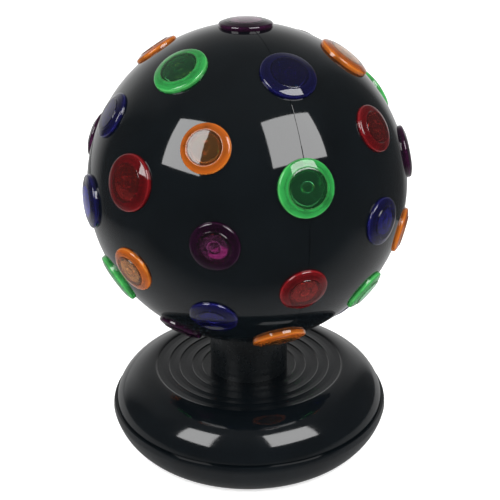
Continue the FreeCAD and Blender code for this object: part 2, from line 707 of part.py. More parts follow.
fz = num("glass_foot") + w + 17.65
filament = doc.addObject("Part::Feature", "lamp_filament")
filament.Label = "lamp_filament"
filament.Shape = Part.makeCompound([
    round_path([(-0.7, 0, fz), (-0.9, 0, fz + 3.0), (-6.2, 0, fz + 10.0), (-6.4, 0, fz + 14.0),
                (-3.0, 0, fz + 15.0), (0.0, 0, fz + 14.2), (3.0, 0, fz + 15.0), (6.4, 0, fz + 14.0),
                (6.2, 0, fz + 10.0), (0.9, 0, fz + 3.0), (0.7, 0, fz)], 1.2, 0.25)])
keep(filament)

# ---------------------------------------------------------------------------
# Cord inlet, terminal block, switch, leads
# ---------------------------------------------------------------------------
grommet = lathe("cord_grommet", [
    (size("inlet_bore"), size("inlet_inner") - 2.0),
    (size("inlet_body") + 1.0, size("inlet_inner") - 2.0),
    (size("inlet_body") + 1.0, size("inlet_inner")),
    (size("inlet_body"), size("inlet_inner")),
    (size("inlet_body"), size("inlet_face")),
    (size("inlet_body") + 2.4, size("inlet_face")),
    (size("inlet_body") + 2.0, size("inlet_face") + 1.4),
    (size("inlet_bore"), size("inlet_face") + 1.4),
])
keep(put(grommet, (0, 0, size("inlet_height")), App.Rotation(V(0, 0, 1), V(0, 1, 0))))

bf = num("tray_floor")
block_y = num("block_front") + num("block_deep") / 2.0
block_blank = box("terminal_block_blank", size("block_long"), size("block_deep"), size("block_high"),
                  (size("block_left"), size("block_front"), size("tray_floor")))
block_holes, block_screws, fixing_screws = [], [], []
for i, dx in enumerate((5.0, 17.0, 29.0)):
    x = size("block_left") + dx
    block_holes.append(cylinder("block_bore_%d" % i, 1.6, 20.0, (x, size("block_front") - 3.0, size("block_wire")), (0, 1, 0)))
    block_holes.append(cylinder("block_well_%d" % i, 1.85, 10.0, (x, block_y, size("block_wire"))))
    block_screws.append(screw("block_screw_%d" % i, 1.83, 1.6, 1.2, 2.4, (x.value, block_y, bf + 10.0), (0, 0, -1)))
for i, dx in enumerate((11.0, 23.0)):
    x = size("block_left") + dx
    block_holes.append(cylinder("block_fixing_low_%d" % i, 3.3, 6.6, (x, block_y, bf - 2.0)))
    block_holes.append(cylinder("block_fixing_mid_%d" % i, 1.7, 12.0, (x, block_y, bf - 2.0)))
    block_holes.append(cylinder("block_fixing_top_%d" % i, 3.0, 9.0, (x, block_y, bf + 7.6)))
    fixing_screws.append(screw("fixing_screw_%d" % i, 2.6, 1.8, 1.4, 8.0, (x.value, block_y, bf + 7.6), (0, 0, -1)))
keep(cut("terminal_block", block_blank, block_holes))
keep(compound("terminal_screws", block_screws))
keep(compound("terminal_fixing_screws", fixing_screws))

sz = num("switch_height")
bezel = box("switch_bezel", 1.6, 18.0, 12.6, at_switch(num("switch_face"), -9.0, sz - 6.3), switch_turn)
barrel = box("switch_barrel", 14.2, 13.9, 9.3, at_switch(num("switch_face") - 14.0, -6.95, sz - 4.65), switch_turn)
housing = fuse("switch_housing_blank", [bezel, barrel])
well = box("switch_well", 8.0, 12.0, 7.7, at_switch(num("switch_face") - 5.0, -6.0, sz - 3.85), switch_turn)
pin_hole = cylinder("switch_pin_hole", 0.95, 8.6, at_switch(num("rocker_pivot"), 0.0, sz - 4.3))
keep(cut("switch_housing", housing, [well, pin_hole]))

# rocker, seen from above in its own frame: x out of the base, y along the base
tilt = App.Rotation(V(0, 0, 1), num("rocker_tilt"))
rocker_body = plate("rocker_blank", [
    (-1.2, -1.6), (0.0, -5.2), (2.7, -5.2), (1.95, 0.0), (2.7, 5.2), (0.0, 5.2), (-1.2, 1.6)],
    -3.5, 7.0)
pivot_at = at_switch(num("rocker_pivot"), 0.0, sz)
rocker_turn = switch_turn.multiply(tilt)
put(rocker_body, pivot_at, rocker_turn)
rocker_pins = cylinder("rocker_pins", 0.9, 8.2, (pivot_at[0], pivot_at[1], sz - 4.1))
keep(fuse("switch_rocker", [rocker_body, rocker_pins]))


def leads(label, routes, radius, tube):
    obj = doc.addObject("Part::Feature", label)
    obj.Label = label
    obj.Shape = Part.makeCompound([round_path(r, radius, tube) for r in routes])
    return keep(obj)


bw, b0, yb = num("block_wire"), num("block_left"), block_y
lead_top = num("holder_floor") - 0.2
leads("lamp_leads", [
    [(1.3, -0.8, lead_top), (1.3, -0.8, 17.0), (15.0, 5.0, 11.5), (b0 + 17.0, 18.0, bw), (b0 + 17.0, yb - 2.0, bw)],
    [(-1.3, 0.8, lead_top), (-1.3, 0.8, 20.0), (6.0, 9.0, 12.5), (b0 + 5.0, 19.0, bw), (b0 + 5.0, yb - 2.0, bw)],
], 0.0, 0.8)
mx, mr = num("motor_x"), num("motor_radius")
leads("motor_leads", [
    [(mx + 3.6, mr + 0.4, 21.0), (mx + 5.0, 36.0, 19.0), (-17.0, 48.0, 14.0), (0.0, 53.0, 11.0),
     (b0 + 5.0, 49.0, bw), (b0 + 5.0, yb + 2.0, bw)],
    [(mx - 3.6, mr + 0.4, 21.0), (mx - 2.5, 39.0, 19.0), (-21.0, 55.0, 13.0), (2.0, 61.5, bw - 0.78),
     (20.0, 59.0, bw - 0.78), (b0 + 17.0, 49.0, bw - 0.78), (b0 + 17.0, yb + 2.0, bw - 0.78)],
], 0.0, 0.7)
sw = [at_switch(num("switch_face") - 14.4, t, 11.5) for t in (3.5, -3.5)]
leads("switch_leads", [
    [sw[0], (30.5, 60.5, 11.5), (b0 + 17.5, 52.0, bw + 0.78), (b0 + 17.0, yb + 2.0, bw + 0.78)],
    [sw[1], (38.2, 58.5, 11.0), (b0 + 29.0, 50.0, bw), (b0 + 29.0, yb + 2.0, bw)],
], 0.0, 0.7)

# ---------------------------------------------------------------------------
# Ball: lens table. Azimuth 0 is the front, positive towards +X.
# ---------------------------------------------------------------------------
LENSES = [
    # latitude, azimuth, colour, big
    (90.0, 0.0, "top", 1),
    (55.7, -103.6, "orange", 0), (55.8, -40.8, "green", 1), (54.9, 24.0, "blue", 1),
    (54.1, 84.9, "orange", 1), (54.0, 142.2, "purple", 0), (54.0, 199.4, "red", 1),
    (32.6, -68.9, "blue", 0), (30.1, -14.7, "orange", 0), (29.8, 56.6, "red", 0),
    (31.5, 111.0, "green", 1), (30.5, 172.0, "purple", 0), (30.5, 231.0, "green", 0),
    (16.8, -98.1, "purple", 0), (15.3, -42.9, "red", 1), (17.0, 19.6, "green", 1),
    (12.8, 86.9, "purple", 1), (16.0, 140.0, "blue", 0), (16.0, 200.0, "orange", 1),
    (1.2, -69.6, "blue", 1), (-0.5, -10.2, "purple", 0), (-0.6, 50.7, "blue", 0),
    (0.2, 110.0, "red", 1), (0.0, 170.0, "orange", 0), (0.0, 230.0, "blue", 0),
    (-15.2, -100.1, "red", 1), (-15.8, -43.9, "orange", 0), (-18.5, 19.4, "red", 0),
    (-12.9, 75.3, "orange", 0), (-16.0, 139.0, "green", 1), (-16.0, 200.0, "purple", 0),
    (-29.4, -67.3, "green", 1), (-31.2, -13.5, "blue", 0), (-32.2, 57.3, "green", 0),
    (-29.0, 109.0, "purple", 0), (-29.0, 170.0, "orange", 1), (-29.0, 230.0, "red", 0),
    (-51.2, -102.0, "orange", 0), (-51.3, -42.4, "purple", 0), (-52.3, 17.9, "orange", 1),
    (-51.8, 77.8, "blue", 0), (-51.5, 138.0, "green", 0), (-51.5, 198.0, "purple", 1),
]
middle = V(0, 0, num("ball_middle"))


def direction(lat, az):
    p, a = math.radians(lat), math.radians(az)
    return V(math.cos(p) * math.sin(a), -math.cos(p) * math.cos(a), math.sin(p))


def lens_body(label, edge, plug, seat, lift, ring, crest, face):
    """One lens on the ball's pole: a domed face in a sloping ring with a rounded edge, over a plug."""
    zc = size("ball_middle")
    return lathe(label, [
        (plug - 2.0, zc + size("lens_foot")),
        (plug, zc + size("lens_foot")),
        (plug, zc + seat),
        (edge, zc + seat),
        (edge, zc + (100.1 + lift)),
        (edge - 1.04, zc + (101.53 + lift), edge.value - 0.287, num("ball_middle") + 100.98 + lift),
        (edge - ring, zc + (crest + lift)),
        (edge - (ring + 0.5), zc + (face + lift)),
        (0.5, zc + (103.45 + lift), (edge.value - ring - 0.5) / 2, num("ball_middle") + 103.28 + lift),
        (0, zc + (103.45 + lift)),
        (0, zc + (101.6 + lift)),
        (0.5, zc + (101.6 + lift)),
        (plug - 3.2, zc + (101.0 + lift), (plug.value - 3.2) / 2, num("ball_middle") + 101.45 + lift),
        (plug - 2.0, zc + 98.4),
    ])


lens_top = keep(lens_body("lens_top", size("lens_big"), size("lens_big_plug"), size("lens_big_seat"), 0.0,
                          4.7, 102.72, 102.82))
lens_pattern = lens_body("lens_small_pattern", size("lens_small"), size("lens_small_plug"),
                         size("lens_small_seat"), -0.3, 4.0, 102.49, 102.96)
doc.recompute()


def turned(shape, lat, az):
    s = shape.copy()
    move = App.Placement(middle, App.Rotation(V(0, 0, 1), direction(lat, az)))
    back = App.Placement(-middle, App.Rotation())
    s.transformShape(move.multiply(back).toMatrix())
    return s


for colour in ("purple", "green", "orange", "red", "blue"):
    group = doc.addObject("Part::Feature", "lenses_" + colour)
    group.Label = "lenses_" + colour
    group.Shape = Part.makeCompound([
        turned(lens_top.Shape if big else lens_pattern.Shape, lat, az)
        for lat, az, c, big in LENSES if c == colour])
    keep(group)

# ---------------------------------------------------------------------------
# Ball shell: two halves that meet on a vertical plane through the seam
# ---------------------------------------------------------------------------
R = num("ball_radius")
outer = Part.makeSphere(R, middle)
inner = Part.makeSphere(R - num("ball_wall"), middle)
shell = outer.cut(inner)
seat = Part.makeCylinder(num("seat_radius"), 20.0, V(0, 0, num("seat_level") - 20.0)).common(outer)
shell = shell.fuse(seat)
sx, sy = azimuth(num("seam_azimuth"))
along = V(sx, sy, 0)
across = V(-sy, sx, 0)
bosses, boss_tools, shell_screws = [], [], []
reach = num("boss_reach")
n = 0
for sign in (1, -1):
    for lat in (num("boss_lat_up"), num("boss_lat_down")):
        p = math.radians(lat)
        c = middle + along * (sign * reach * math.cos(p)) + V(0, 0, reach * math.sin(p))
        bosses.append(Part.makeCylinder(num("boss_radius"), num("boss_half") + num("boss_far"),
                                        c - across * num("boss_far"), across).common(outer))
        boss_tools.append(Part.makeCylinder(1.42, 9.0, c - across * 8.6, across))
        boss_tools.append(Part.makeCylinder(1.7, num("boss_half") + 0.5, c, across))
        shell_screws.append(screw("shell_screw_%d" % n, 2.6, 1.8, 1.4, 16.0,
                                  tuple(c + across * num("boss_half")), tuple(-across)))
        n += 1
for b in bosses:
    shell = shell.fuse(b)
tools = [Part.makeCylinder(num("ball_mouth"), 60.0, V(0, 0, 50.0))]
for x, y in hub_points:
    tools.append(Part.makeCylinder(3.1, 20.0, V(x, y, num("hub_screw_seat") - 20.0)))
    tools.append(Part.makeCylinder(1.7, 30.0, V(x, y, num("hub_screw_seat") - 20.0)))
for lat, az, colour, big in LENSES:
    name = "lens_big" if big else "lens_small"
    d = direction(lat, az)
    tools.append(Part.makeCylinder(num(name + "_plug") + num("lens_play"), 16.0, middle + d * 90.0, d))
    tools.append(Part.makeCylinder(num(name) + num("lens_play"), 8.0, middle + d * num(name + "_seat"), d))
shell = shell.cut(tools + boss_tools)
for label, sign in (("ball_shell_right", 1), ("ball_shell_left", -1)):
    half = Part.makeBox(260.0, 130.0, 400.0, V(-130.0, 0.0, 0.0))
    # the box lies on the +Y side of its own XZ plane; turn that side to face across * sign
    facing = across * sign
    turn = App.Rotation(V(0, 1, 0), facing)
    half.Placement = App.Placement(V(0, 0, 0), turn)
    piece = shell.common(half)
    obj = doc.addObject("Part::Feature", label)
    obj.Label = label
    obj.Shape = piece
    keep(obj)
keep(compound("shell_screws", shell_screws))

# ---------------------------------------------------------------------------
# Check every object, then write the pieces
# ---------------------------------------------------------------------------
doc.recompute()
bad = [o.Name for o in doc.Objects if any(s in ("Invalid", "Error") for s in o.State)]
if bad:
    raise RuntimeError("objects in error: " + ", ".join(bad))
for label, obj in NODES.items():
    if obj.Shape.isNull() or not obj.Shape.isValid():
        raise RuntimeError("bad shape: " + label)
os.makedirs("parts", exist_ok=True)
for label, obj in sorted(NODES.items()):
    obj.Shape.exportStep(os.path.join("parts", label + ".step"))
    b = obj.Shape.optimalBoundingBox(True, False)
    print("%-26s solids %2d vol %10.2f  x %7.2f %7.2f  y %7.2f %7.2f  z %7.2f %7.2f" % (
        label, len(obj.Shape.Solids), obj.Shape.Volume, b.XMin, b.XMax, b.YMin, b.YMax, b.ZMin, b.ZMax))
print("nodes", len(NODES))
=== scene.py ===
import bpy
import json
import math
from mathutils import Matrix, Vector
from mathutils.geometry import delaunay_2d_cdt


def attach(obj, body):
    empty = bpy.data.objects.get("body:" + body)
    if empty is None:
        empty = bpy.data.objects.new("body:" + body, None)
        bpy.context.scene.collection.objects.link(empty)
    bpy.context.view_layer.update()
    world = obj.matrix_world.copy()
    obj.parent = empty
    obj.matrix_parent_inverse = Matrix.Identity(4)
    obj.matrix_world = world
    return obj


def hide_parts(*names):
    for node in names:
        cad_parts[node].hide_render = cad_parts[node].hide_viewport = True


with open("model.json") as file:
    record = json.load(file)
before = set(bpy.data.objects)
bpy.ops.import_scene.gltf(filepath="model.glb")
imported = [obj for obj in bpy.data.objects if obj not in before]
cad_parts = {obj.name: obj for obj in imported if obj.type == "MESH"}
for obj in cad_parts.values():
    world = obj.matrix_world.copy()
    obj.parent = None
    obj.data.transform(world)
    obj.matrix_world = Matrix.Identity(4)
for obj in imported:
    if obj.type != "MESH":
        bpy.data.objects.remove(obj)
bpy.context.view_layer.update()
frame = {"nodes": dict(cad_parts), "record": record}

MM = 0.001
# ---------------------------------------------------------------------------
# Sizes in millimetres, the same frame as the model: z from the table, -Y front
# ---------------------------------------------------------------------------
BALL_R = 100.0
BALL_WALL = 2.4
BALL_C = Vector((0.0, 0.0, 176.6))
SEAM_AZ = 20.0
BIG, SMALL = 16.3, 14.2

LENSES = [
    # latitude, azimuth, colour, big
    (90.0, 0.0, "top", 1),
    (55.7, -103.6, "orange", 0), (55.8, -40.8, "green", 1), (54.9, 24.0, "blue", 1),
    (54.1, 84.9, "orange", 1), (54.0, 142.2, "purple", 0), (54.0, 199.4, "red", 1),
    (32.6, -68.9, "blue", 0), (30.1, -14.7, "orange", 0), (29.8, 56.6, "red", 0),
    (31.5, 111.0, "green", 1), (30.5, 172.0, "purple", 0), (30.5, 231.0, "green", 0),
    (16.8, -98.1, "purple", 0), (15.3, -42.9, "red", 1), (17.0, 19.6, "green", 1),
    (12.8, 86.9, "purple", 1), (16.0, 140.0, "blue", 0), (16.0, 200.0, "orange", 1),
    (1.2, -69.6, "blue", 1), (-0.5, -10.2, "purple", 0), (-0.6, 50.7, "blue", 0),
    (0.2, 110.0, "red", 1), (0.0, 170.0, "orange", 0), (0.0, 230.0, "blue", 0),
    (-15.2, -100.1, "red", 1), (-15.8, -43.9, "orange", 0), (-18.5, 19.4, "red", 0),
    (-12.9, 75.3, "orange", 0), (-16.0, 139.0, "green", 1), (-16.0, 200.0, "purple", 0),
    (-29.4, -67.3, "green", 1), (-31.2, -13.5, "blue", 0), (-32.2, 57.3, "green", 0),
    (-29.0, 109.0, "purple", 0), (-29.0, 170.0, "orange", 1), (-29.0, 230.0, "red", 0),
    (-51.2, -102.0, "orange", 0), (-51.3, -42.4, "purple", 0), (-52.3, 17.9, "orange", 1),
    (-51.8, 77.8, "blue", 0), (-51.5, 138.0, "green", 0), (-51.5, 198.0, "purple", 1),
]


def direction(lat, az):
    p, a = math.radians(lat), math.radians(az)
    return Vector((math.cos(p) * math.sin(a), -math.cos(p) * math.cos(a), math.sin(p)))


# ---------------------------------------------------------------------------
# Shader helpers
# ---------------------------------------------------------------------------
class Nodes:
    def __init__(self, name):
        self.mat = bpy.data.materials.new(name)
        self.mat.use_nodes = True
        self.tree = self.mat.node_tree
        self.tree.nodes.clear()
        self.out = self.add("ShaderNodeOutputMaterial")
        self.bsdf = self.add("ShaderNodeBsdfPrincipled")
        self.link(self.bsdf, "BSDF", self.out, "Surface")

    def add(self, kind, **settings):
        n = self.tree.nodes.new(kind)
        for k, v in settings.items():
            setattr(n, k, v)
        return n

    def link(self, a, out, b, inp):
        self.tree.links.new(a.outputs[out], b.inputs[inp])

    def set(self, **values):
        for k, v in values.items():
            self.bsdf.inputs[k.replace("_", " ")].default_value = v

    def coords(self, scale=1.0):
        tc = self.add("ShaderNodeTexCoord")
        mp = self.add("ShaderNodeMapping")
        mp.inputs["Scale"].default_value = (scale, scale, scale)
        self.link(tc, "Object", mp, "Vector")
        return mp

    def noise(self, scale, detail=3.0, rough=0.5):
        n = self.add("ShaderNodeTexNoise")
        n.inputs["Scale"].default_value = scale
        n.inputs["Detail"].default_value = detail
        n.inputs["Roughness"].default_value = rough
        self.link(self.coords(), "Vector", n, "Vector")
        return n

    def ramp(self, source, out, stops, interp="LINEAR"):
        r = self.add("ShaderNodeValToRGB")
        r.color_ramp.interpolation = interp
        el = r.color_ramp.elements
        while len(el) > 1:
            el.remove(el[-1])
        el[0].position = stops[0][0]
        el[0].color = tuple(stops[0][1]) + (1.0,)
        for pos, col in stops[1:]:
            e = el.new(pos)
            e.color = tuple(col) + (1.0,)
        self.link(source, out, r, "Fac")
        return r

    def remap(self, source, out, lo, hi, from_lo=0.0, from_hi=1.0):
        m = self.add("ShaderNodeMapRange")
        m.inputs["From Min"].default_value = from_lo
        m.inputs["From Max"].default_value = from_hi
        m.inputs["To Min"].default_value = lo
        m.inputs["To Max"].default_value = hi
        self.link(source, out, m, "Value")
        return m

    def bump(self, source, out, strength, distance):
        b = self.add("ShaderNodeBump")
        b.inputs["Strength"].default_value = strength
        b.inputs["Distance"].default_value = distance
        self.link(source, out, b, "Height")
        self.link(b, "Normal", self.bsdf, "Normal")
        return b


def gloss_black(name, base, rough, ripple, duller=None):
    """High-gloss moulded plastic: faint mottling of the colour and the polish, a hint of mould ripple."""
    n = Nodes(name)
    n.set(IOR=1.5)
    cloud = n.noise(38.0, 4.0)
    col = n.ramp(cloud, "Fac", [(0.25, [c * 0.8 for c in base]), (0.75, [c * 1.25 for c in base])])
    n.link(col, "Color", n.bsdf, "Base Color")
    fine = n.noise(420.0, 5.0, 0.6)
    r = n.remap(fine, "Fac", rough * 0.7, rough * 1.5, 0.3, 0.75)
    if duller:
        # inside this distance from the axis the moulding is less polished
        reach, more = duller
        sep = n.add("ShaderNodeSeparateXYZ")
        n.link(n.coords(), "Vector", sep, "Vector")
        flat = n.add("ShaderNodeCombineXYZ")
        n.link(sep, "X", flat, "X")
        n.link(sep, "Y", flat, "Y")
        far = n.add("ShaderNodeVectorMath", operation="LENGTH")
        n.link(flat, "Vector", far, 0)
        step = n.remap(far, "Value", more - rough, 0.0, reach - 0.0008, reach + 0.0008)
        both = n.add("ShaderNodeMath", operation="ADD")
        n.link(r, "Result", both, 0)
        n.link(step, "Result", both, 1)
        n.link(both, "Value", n.bsdf, "Roughness")
    else:
        n.link(r, "Result", n.bsdf, "Roughness")
    wave = n.noise(55.0, 1.0)
    n.bump(wave, "Fac", 0.35, ripple)
    return n.mat


def tinted(name, disc, deep, ring, light, ring_through, disc_through):
    """Moulded tinted lens. The stored zone runs from the middle of the face (0) over the crease
    (0.66) and the bevelled ring (0.72 to 0.93) to the outer edge (1). The colour deep is painted shade in the crease;
    the colour light is a painted highlight on the crease lip and along the rounded outer edge."""
    n = Nodes(name)
    n.set(IOR=1.45, Coat_Weight=0.35, Coat_IOR=1.5, Coat_Roughness=0.02)
    at = n.add("ShaderNodeAttribute", attribute_name="zone")
    # painted shade (deep) either side of the crease with a painted highlight (light) on its lip; the ring darker across
    # its middle and lighter towards its edge; a painted highlight (light) along the rounded outer edge
    stops = [
        (0.0, disc), (0.58, disc), (0.64, deep), (0.67, light), (0.70, deep), (0.73, ring),
        (0.80, [c * 0.75 for c in ring]), (0.88, ring), (0.93, [c * 1.15 for c in ring]), (0.965, light), (1.0, ring),
    ]
    colour = n.ramp(at, "Fac", stops)
    cloud = n.noise(105.0, 2.0, 0.45)
    shade = n.ramp(cloud, "Fac", [(0.30, (0.50, 0.50, 0.50)), (0.50, (0.92, 0.92, 0.92)), (0.72, (1.0, 1.0, 1.0))])
    mix = n.add("ShaderNodeMix", data_type="RGBA", blend_type="MULTIPLY")
    only_ring = n.remap(at, "Fac", 0.0, 0.85, 0.60, 0.70)
    n.link(only_ring, "Result", mix, 0)
    n.link(colour, "Color", mix, 6)
    n.link(shade, "Color", mix, 7)
    n.link(mix, 2, n.bsdf, "Base Color")
    through = n.ramp(at, "Fac", [
        (0.0, [disc_through] * 3), (0.62, [disc_through] * 3), (0.70, [ring_through] * 3), (0.92, [ring_through] * 3), (0.96, [ring_through * 0.6] * 3),
        (1.0, [ring_through] * 3)])
    n.link(through, "Color", n.bsdf, "Transmission Weight")
    fine = n.noise(260.0, 3.0)
    r = n.remap(fine, "Fac", 0.01, 0.05, 0.3, 0.75)
    n.link(r, "Result", n.bsdf, "Roughness")
    wave = n.noise(150.0, 1.5)
    n.bump(wave, "Fac", 0.45, 0.00012)
    return n.mat


def plain(name, low, high, scale, rough, metallic=0.0, bump=0.00003, extra=None):
    """Matt plastic, rubber or metal with colour, polish and surface varied by noise."""
    n = Nodes(name)
    n.set(Metallic=metallic)
    a = n.noise(scale, 5.0, 0.6)
    col = n.ramp(a, "Fac", [(0.3, low), (0.7, high)])
    n.link(col, "Color", n.bsdf, "Base Color")
    b = n.noise(scale * 6.0, 4.0)
    r = n.remap(b, "Fac", rough * 0.75, rough * 1.25, 0.3, 0.7)
    n.link(r, "Result", n.bsdf, "Roughness")
    n.bump(b, "Fac", 0.4, bump)
    if extra:
        extra(n)
    return n.mat


# ---------------------------------------------------------------------------
# Materials
# ---------------------------------------------------------------------------
BALL_BLACK = gloss_black("ball_gloss_black", (0.0022, 0.0033, 0.0042), 0.045, 0.00004)
BASE_BLACK = gloss_black("base_gloss_black", (0.0024, 0.0036, 0.0047), 0.085, 0.00006, (0.0637, 0.20))
NECK_BLACK = gloss_black("neck_satin_black", (0.0058, 0.0076, 0.0090), 0.30, 0.00004)

# per colour: face, painted crease shade, ring, painted edge highlight, then how much of the ring and of the face lets
# light through
LENS_MATS = {
    "green": tinted("lens_green_plastic", (0.10, 0.58, 0.22), (0.008, 0.09, 0.02), (0.034, 0.35, 0.074), (0.12, 0.56, 0.15), 0.45, 0.97),
    "orange": tinted("lens_orange_plastic", (0.88, 0.40, 0.12), (0.18, 0.035, 0.006), (0.46, 0.105, 0.010), (0.62, 0.19, 0.025), 0.45, 0.965),
    "red": tinted("lens_red_plastic", (0.62, 0.05, 0.045), (0.06, 0.002, 0.003), (0.12, 0.003, 0.005), (0.24, 0.012, 0.016), 0.45, 0.96),
    "blue": tinted("lens_blue_plastic", (0.035, 0.035, 0.36), (0.002, 0.002, 0.03), (0.004, 0.004, 0.043), (0.011, 0.011, 0.09), 0.5, 0.975),
    "purple": tinted("lens_purple_plastic", (0.30, 0.07, 0.21), (0.010, 0.001, 0.008), (0.014, 0.001, 0.012), (0.04, 0.006, 0.032), 0.5, 0.99),
}

RUBBER = plain("black_rubber_moulded", (0.012, 0.012, 0.012), (0.028, 0.028, 0.028), 120.0, 0.7)
ZINC = plain("screw_zinc", (0.42, 0.43, 0.44), (0.62, 0.62, 0.60), 300.0, 0.32, 1.0)
SHEET = plain("plate_zinc_sheet", (0.45, 0.46, 0.47), (0.60, 0.61, 0.61), 90.0, 0.35, 1.0)
BRASS = plain("brass_turned", (0.55, 0.38, 0.12), (0.75, 0.56, 0.24), 160.0, 0.25, 1.0)
ACETAL = plain("white_acetal", (0.60, 0.60, 0.56), (0.72, 0.72, 0.68), 60.0, 0.42)
HUB = plain("hub_black_matt", (0.010, 0.010, 0.011), (0.022, 0.022, 0.023), 70.0, 0.5)
HOLDER = plain("holder_resin", (0.45, 0.43, 0.38), (0.60, 0.57, 0.50), 80.0, 0.5)
COIL = plain("coil_tape", (0.30, 0.20, 0.05), (0.48, 0.34, 0.10), 110.0, 0.45)
CAP = plain("cap_bright", (0.62, 0.62, 0.60), (0.78, 0.78, 0.76), 140.0, 0.22, 1.0)
WIRE = plain("filament_drawn", (0.18, 0.16, 0.14), (0.30, 0.27, 0.22), 500.0, 0.4, 1.0)
SHEATH = plain("lead_sheath_soft", (0.02, 0.02, 0.022), (0.045, 0.045, 0.05), 200.0, 0.55)
SWITCH = plain("switch_black_matt", (0.010, 0.010, 0.010), (0.022, 0.022, 0.022), 150.0, 0.42)


def clear_glass():
    n = Nodes("lamp_clear_glass")
    n.set(IOR=1.5, Transmission_Weight=1.0)
    a = n.noise(60.0, 2.0)
    col = n.ramp(a, "Fac", [(0.3, (0.90, 0.93, 0.92)), (0.7, (0.97, 0.98, 0.98))])
    n.link(col, "Color", n.bsdf, "Base Color")
    r = n.remap(a, "Fac", 0.0, 0.03, 0.3, 0.7)
    n.link(r, "Result", n.bsdf, "Roughness")
    return n.mat


GLASS = clear_glass()

NODE_MATS = {
    "black_rubber": RUBBER, "screw_steel": ZINC, "plate_steel": SHEET, "brass": BRASS,
    "white_plastic": ACETAL, "hub_plastic": HUB, "holder_plastic": HOLDER, "coil_wrap": COIL,
    "cap_metal": CAP, "clear_glass": GLASS, "filament_metal": WIRE, "lead_sheath": SHEATH,
    "switch_plastic": SWITCH,
}
for sub in frame["record"]["subparts"]:
    node = frame["nodes"].get(sub["node"])
    mat = NODE_MATS.get(sub["material_slot"])
    if node is not None and mat is not None:
        for s in node.material_slots:
            s.material = mat
        if not node.material_slots:
            node.data.materials.append(mat)


# ---------------------------------------------------------------------------
# Mesh helpers
# ---------------------------------------------------------------------------
def new_object(name, verts, faces, mats, face_mats=None, zone=None, smooth=True):
    me = bpy.data.meshes.new(name)
    me.from_pydata([tuple(v * MM for v in p) for p in verts], [], faces)
    for m in mats:
        me.materials.append(m)
    if face_mats:
        me.polygons.foreach_set("material_index", face_mats)
    if smooth:
        me.polygons.foreach_set("use_smooth", [True] * len(me.polygons))
    if zone is not None:
        at = me.attributes.new("zone", "FLOAT", "POINT")
        at.data.foreach_set("value", zone)
    me.validate()
    me.update()
    ob = bpy.data.objects.new(name, me)
    bpy.context.scene.collection.objects.link(ob)
    return ob


def round_corners(points, steps=5):
    """points: (r, z) or (r, z, fillet). Returns a polyline of a closed outline with its corners rounded."""
    out = []
    n = len(points)
    for i, p in enumerate(points):
        x, z = p[0], p[1]
        f = p[2] if len(p) > 2 else 0.0
        if f <= 0.0:
            out.append((x, z))
            continue
        a = Vector((points[i - 1][0] - x, points[i - 1][1] - z))
        b = Vector((points[(i + 1) % n][0] - x, points[(i + 1) % n][1] - z))
        la, lb = a.length, b.length
        a.normalize()
        b.normalize()
        ang = a.angle(b)
        back = min(f / math.tan(ang / 2), la * 0.48, lb * 0.48)
        rad = back * math.tan(ang / 2)
        mid = (a + b).normalized()
        c = Vector((x, z)) + mid * (rad / math.sin(ang / 2))
        s = Vector((x, z)) + a * back
        e = Vector((x, z)) + b * back
        t0 = math.atan2(s.y - c.y, s.x - c.x)
        t1 = math.atan2(e.y - c.y, e.x - c.x)
        d = (t1 - t0 + math.pi) % (2 * math.pi) - math.pi
        for k in range(steps + 1):
            t = t0 + d * k / steps
            out.append((c.x + rad * math.cos(t), c.y + rad * math.sin(t)))
    return out


def ring_mesh(profile, segments, closed=True):
    """Turns a polyline (r, z) about Z. Points on the axis become one vertex."""
    verts, faces, idx = [], [], []
    for r, z in profile:
        if abs(r) < 1e-6:
            idx.append([len(verts)])
            verts.append((0.0, 0.0, z))
        else:
            row = []
            for k in range(segments):
                t = 2 * math.pi * k / segments
                row.append(len(verts))
                verts.append((r * math.cos(t), r * math.sin(t), z))
            idx.append(row)
    m = len(profile)
    last = m if closed else m - 1
    for i in range(last):
        a, b = idx[i], idx[(i + 1) % m]
        if len(a) == 1 and len(b) == 1:
            continue
        for k in range(segments):
            k2 = (k + 1) % segments
            if len(a) == 1:
                faces.append((a[0], b[k2], b[k]))
            elif len(b) == 1:
                faces.append((a[k], a[k2], b[0]))
            else:
                faces.append((a[k], a[k2], b[k2], b[k]))
    return verts, faces


def outward(verts, faces):
    """Flips the faces of a closed mesh if its volume comes out negative."""
    vol = 0.0
    for f in faces:
        a = Vector(verts[f[0]])
        for i in range(1, len(f) - 1):
            vol += a.dot(Vector(verts[f[i]]).cross(Vector(verts[f[i + 1]])))
    return faces if vol > 0 else [tuple(reversed(f)) for f in faces]


def lathe(name, points, mat, segments=256, sharp=40.0):
    prof = round_corners(points)
    v, f = ring_mesh(prof, segments)
    f = outward(v, f)
    ob = new_object(name, v, f, [mat])
    ob.data.set_sharp_from_angle(angle=math.radians(sharp))
    return ob


def arc(p0, pm, p1, n):
    """n + 1 points of the circle arc from p0 through pm to p1."""
    ax, ay, bx, by, cx, cy = *p0, *pm, *p1
    d = 2 * (ax * (by - cy) + bx * (cy - ay) + cx * (ay - by))
    ux = ((ax * ax + ay * ay) * (by - cy) + (bx * bx + by * by) * (cy - ay) + (cx * cx + cy * cy) * (ay - by)) / d
    uy = ((ax * ax + ay * ay) * (cx - bx) + (bx * bx + by * by) * (ax - cx) + (cx * cx + cy * cy) * (bx - ax)) / d
    r = math.hypot(ax - ux, ay - uy)
    t0, tm, t1 = (math.atan2(q[1] - uy, q[0] - ux) for q in (p0, pm, p1))
    two = 2 * math.pi
    if (tm - t0) % two > (t1 - t0) % two:
        d = -((t0 - t1) % two)
    else:
        d = (t1 - t0) % two
    return [(ux + r * math.cos(t0 + d * k / n), uy + r * math.sin(t0 + d * k / n)) for k in range(n + 1)]


